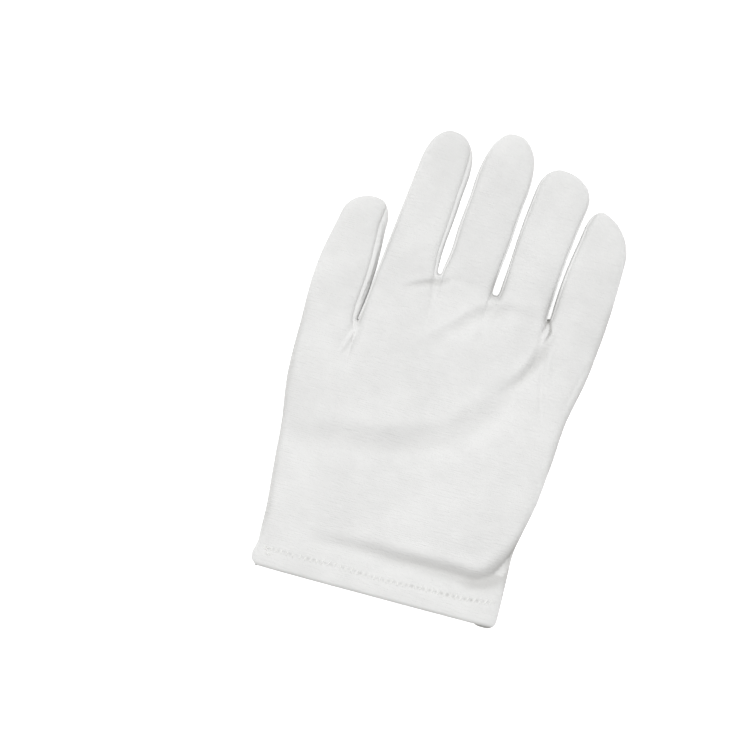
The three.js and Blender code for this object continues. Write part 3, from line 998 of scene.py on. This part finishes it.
# %% The jersey's material
WALE_MM = 1.3  # column of loops: 0.7 mm on the real cloth, drawn wider so that it shows
COURSE_MM = 0.95  # row of loops: 0.5 mm on the real cloth
STREAK_MM = (5.0, 0.9)  # thick places in the yarn lie along the rows: length and width
LEG_SLANT = 1.3  # how many rows a leg climbs over the width of a column
FUZZ_HIGH, STREAK_HIGH = 0.8, 3.0  # beside a loop's height of 1
UV_MM = 100  # one unit of the cloth's UV map


def jersey(name, light, dark, painted_shade_colour, knit_mm):
    """Knitted cotton between two near whites, with loops knit_mm deep, and painted shade in a
    third colour.
    """
    material, tree = new_material(name)
    uv = add_node(tree, "ShaderNodeUVMap", uv_map="cloth").outputs[0]
    place = add_node(tree, "ShaderNodeTexCoord").outputs["Object"]
    parts = add_node(tree, "ShaderNodeSeparateXYZ", {0: uv})
    across = calculate(tree, "MULTIPLY", parts.outputs[0], UV_MM / WALE_MM)
    along = calculate(tree, "MULTIPLY", parts.outputs[1], UV_MM / COURSE_MM)
    # Each column is two slanting legs: the rows climb towards its middle and fall again.
    leg = calculate(tree, "PINGPONG", across, 0.5)
    slant = calculate(tree, "MULTIPLY_ADD", leg, LEG_SLANT, along)
    turns = calculate(tree, "MULTIPLY", slant, 2 * math.pi)
    rows = calculate(tree, "SINE", turns)
    width = calculate(tree, "MULTIPLY", leg, 2 * math.pi)
    legs = calculate(tree, "SINE", width)
    depth = calculate(tree, "MULTIPLY_ADD", rows, 0.3, 0.7)
    loops = calculate(tree, "MULTIPLY", legs, depth)
    # Loose fibres and thick places in the yarn add to the loops' height.
    fuzz = add_node(
        tree,
        "ShaderNodeTexNoise",
        {"Vector": place, "Scale": 900, "Detail": 3, "Roughness": 0.65},
    )
    stretched = add_node(
        tree,
        "ShaderNodeVectorMath",
        {0: uv, 1: (UV_MM / STREAK_MM[0], UV_MM / STREAK_MM[1], 1)},
        operation="MULTIPLY",
    )
    slubs = add_node(
        tree, "ShaderNodeTexNoise", {"Vector": stretched.outputs[0], "Scale": 1, "Detail": 2}
    )
    fuzzy = calculate(tree, "MULTIPLY_ADD", fuzz.outputs[0], FUZZ_HIGH, loops)
    height = calculate(tree, "MULTIPLY_ADD", slubs.outputs[0], STREAK_HIGH, fuzzy)
    bump = add_node(
        tree, "ShaderNodeBump", {"Height": height, "Distance": knit_mm * MM, "Strength": 1.0}
    )
    clouds = add_node(
        tree,
        "ShaderNodeTexNoise",
        {"Vector": place, "Scale": 45, "Detail": 4, "Roughness": 0.6},
    )
    tone = add_node(tree, "ShaderNodeMapRange", {0: clouds.outputs[0], 1: 0.35, 2: 0.65})
    colour = add_node(
        tree,
        "ShaderNodeMix",
        {"Factor": tone.outputs[0], "A": srgb(dark), "B": srgb(light)},
        data_type="RGBA",
    )
    # Painted shade: the shade attribute darkens the colour towards the shade colour.
    shaded = add_node(tree, "ShaderNodeAttribute", attribute_name="shade")
    with_painted_shade = add_node(
        tree,
        "ShaderNodeMix",
        {"Factor": shaded.outputs["Fac"], "A": colour.outputs["Result"], "B": srgb(painted_shade_colour)},
        data_type="RGBA",
    )
    surface(
        tree,
        {
            "Base Color": with_painted_shade.outputs["Result"],
            "Roughness": 0.95,
            "Specular IOR Level": 0.25,
            "Sheen Weight": 0.12,
            "Sheen Roughness": 0.6,
            "Normal": bump.outputs[0],
        },
    )
    return material


# The third colour is the painted shade, for creases, flanks, the cuff's edge and needle holes.
knitted_cotton = jersey("knitted_cotton", "#E6E6E5", "#DFDFDE", "#A6A5A2", knit_mm=0.105)
print("columns of loops every", WALE_MM, "mm, rows every", COURSE_MM, "mm")

# %% [markdown]
# ## Parting the skin into its pieces
#
# The finished skin is copied once for each piece, and the faces of all the others
# are deleted from the copy. Its thickness comes from a Solidify modifier that grows
# inwards, so the outside stays as it is. The border edges are marked sharp, or the
# cut edge of the cloth would bend the shading of its face. The size that each piece
# was cut to is worked out from its box.

# %% One object for each piece
def cloth_uv(mesh, name):
    """Gives each face corner its place on the flat cloth."""
    layer = mesh.loops.layers.uv.new("cloth")
    upright = name.startswith("gusset")
    for face in mesh.faces:
        for loop in face.loops:
            x, y = on_glove(loop.vert.co)
            z = loop.vert.co.z / MM
            loop[layer].uv = (z / UV_MM, y / UV_MM) if upright else (x / UV_MM, y / UV_MM)


def cloth_piece(name, material, thick_mm):
    """The object of one piece, from its part of the skin."""
    part = skin.copy()
    number = PIECES.index(name)
    others = [f for f in part.faces if f.material_index != number]
    bmesh.ops.delete(part, geom=others, context="FACES")
    for face in part.faces:
        face.material_index = 0
        face.smooth = True
    for edge in part.edges:
        edge.smooth = not edge.is_boundary
    cloth_uv(part, name)
    area = sum(f.calc_area() for f in part.faces)
    piece = mesh_object(name + "_cloth", part, material)
    wall = piece.modifiers.new("thickness", "SOLIDIFY")
    wall.thickness = thick_mm * MM
    wall.offset = -1
    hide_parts(name)
    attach(piece, "root")
    return piece, area


CLOTH_MM = 0.9
# The cut sizes in metres: a gusset's usual width, what its way round the web adds to its
# length, and what the seam adds to the hem's.
GUSSET_WIDE, ROUND_WEB, HEM_SEAM = 0.0115, 0.005, 0.004
cloth = {}
for name in PIECES:
    cloth[name], area = cloth_piece(name, knitted_cotton, CLOTH_MM)
    triangles = 2 * sum(len(p.vertices) - 2 for p in cloth[name].data.polygons)
    print(name, round(area * 1e4, 1), "cm2,", triangles, "triangles")
    box = [c for v in cloth[name].data.vertices for c in v.co]
    wide, long = (max(box[k::3]) - min(box[k::3]) for k in (0, 1))
    if name.startswith("gusset"):
        wide, long = GUSSET_WIDE, 2 * long + ROUND_WEB
    elif name == "cuff_hem":
        wide, long = 2 * wide + HEM_SEAM, 2 * long

# %% [markdown]
# ## Stitches
#
# The hem is held by stitches of white thread, which show as small slanted bars, about
# 3 mm apart. A stitch is a sphere stretched to a bar, because so small a thing needs no
# more faces. A ray from above finds the cloth under each one on the back, and a ray from
# below finds it on the palm. At the left end the thread makes a small loose curl.

# %% One stitch
THREAD_MM = 0.8
STITCH_LONG_MM = 2.7
RISE_MM = {1: 0.15, -1: -0.4}  # the palm's stitches are sunk in, or they would lift the glove
skin_tree = BVHTree.FromBMesh(skin)
stitches = bmesh.new()


def on_cloth(x, y, side):
    """The place and the direction of the cloth over a place on the glove."""
    start = CUFF + Vector((x * MM, y * MM, 30 * MM * side))
    place, normal, _, _ = skin_tree.ray_cast(start, Vector((0, 0, -side)))
    return place, normal


def stitch(x, y, side, slant, long_mm):
    """A bar of thread that lies on the cloth, turned by slant from the glove's length."""
    place, normal = on_cloth(x, y, side)
    if place is None:
        return
    turn = Matrix.Rotation(slant, 4, "Z")
    lean = Vector((0, 0, 1)).rotation_difference(normal).to_matrix().to_4x4()
    size = Matrix.Diagonal((THREAD_MM / 2, long_mm / 2, THREAD_MM / 2, 1 / MM)) * MM
    bmesh.ops.create_uvsphere(
        stitches,
        u_segments=8,
        v_segments=6,
        radius=1,
        matrix=Matrix.Translation(place + normal * RISE_MM[side] * MM) @ lean @ turn @ size,
    )


# %% Both rows of stitches
stitch_numbers = range(2, 42)  # counted along the stitch line, so that they suit its dimples
for side in (1, -1):
    for i in stitch_numbers:
        spot = stitch_line[round(i * STITCH_STEP_MM / POINT_STEP_MM)]
        jitter = noise.noise(Vector((i * 1.7, side * 3.1, 0.5)))
        slant = -side * math.radians(8 + 25 * jitter)
        stitch(spot.x, spot.y + 0.5 * jitter, side, slant, STITCH_LONG_MM * (1 + 0.4 * jitter))
CURL = (-53.5, 7.7, 1.2)  # place and radius of the thread's loose end, in mm
for i in range(9):
    turn = math.radians(30 + 35 * i)
    wide = CURL[2] * (1 + 0.04 * i)
    stitch(CURL[0] + wide * math.cos(turn), CURL[1] + 1.2 * wide * math.sin(turn), 1, turn, 1.2)
print(len(stitch_numbers), "stitches on each side,", len(stitches.faces), "faces")

# %% Thread material and object
sewing_thread, tree = new_material("sewing_thread")
surface(tree, {"Base Color": srgb("#E8E8E6"), "Roughness": 0.7, "Specular IOR Level": 0.35})
for face in stitches.faces:
    face.smooth = True
piece = mesh_object("hem_stitches", stitches, sewing_thread)
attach(piece, "root")
print("hem_stitches:", len(piece.data.polygons), "faces")

# %% [markdown]
# ## Table and light
#
# The glove lies on a white table. A wide, far light from the top of the picture
# shades the slopes that face the cuff, a soft box over the cuff brightens that end,
# and the pale room fills in the rest. The table glows a little, so that no shadow
# shows on it.

# %% Table
TABLE_HALF_M = 2.5
white_table, tree = new_material("white_table")
surface(
    tree,
    {
        "Base Color": srgb("#F4F4F4"),
        "Roughness": 0.9,
        "Emission Color": (1, 1, 1, 1),
        "Emission Strength": 0.5,
    },
)
grid = bmesh.new()
bmesh.ops.create_grid(grid, x_segments=1, y_segments=1, size=TABLE_HALF_M)
table = mesh_object("table", grid, white_table)
print("table:", 2 * TABLE_HALF_M, "m wide")

# %% Lamps
PICTURE_UP = Vector((-math.sin(camera.rotation_euler.z), math.cos(camera.rotation_euler.z), 0))


def lamp(name, kind, watts, place, **settings):
    """A lamp that shines at the glove from a place."""
    data = bpy.data.lights.new(name, kind)
    data.energy = watts
    for key, value in settings.items():
        setattr(data, key, value)
    thing = add_object(name, data)
    thing.location = place
    thing.rotation_euler = (-place).to_track_quat("-Z", "Y").to_euler()
    print(name, watts, "W")


window_from = PICTURE_UP * 0.6 + Vector((0, 0, 1))
lamp("window", "SUN", 1.1, window_from, angle=math.radians(60))
lamp("soft_box", "AREA", 4.6, Vector((0, -0.32, 1.05)), shape="SQUARE", size=0.8)

# %% Pale room
world = bpy.data.worlds.new("pale_room")
world.use_nodes = True
room = world.node_tree
room.nodes.clear()
direction = add_node(room, "ShaderNodeTexCoord").outputs["Generated"]
towards = add_node(
    room, "ShaderNodeVectorMath", {0: direction, 1: PICTURE_UP}, operation="DOT_PRODUCT"
)
DARKEST, LIGHTEST = 0.33, 0.62  # of the room, at the cuff's side and at the fingers' side
glow = add_node(
    room,
    "ShaderNodeMapRange",
    {0: towards.outputs["Value"], 1: -1.0, 2: 1.0, 3: DARKEST, 4: LIGHTEST},
)
sky = add_node(
    room, "ShaderNodeBackground", {"Color": (1, 1, 1, 1), "Strength": glow.outputs[0]}
)
add_node(room, "ShaderNodeOutputWorld", {"Surface": sky.outputs[0]})
bpy.context.scene.world = world
bpy.context.scene.view_settings.view_transform = "Standard"
print("strength of the room's light:", DARKEST, "to", LIGHTEST)
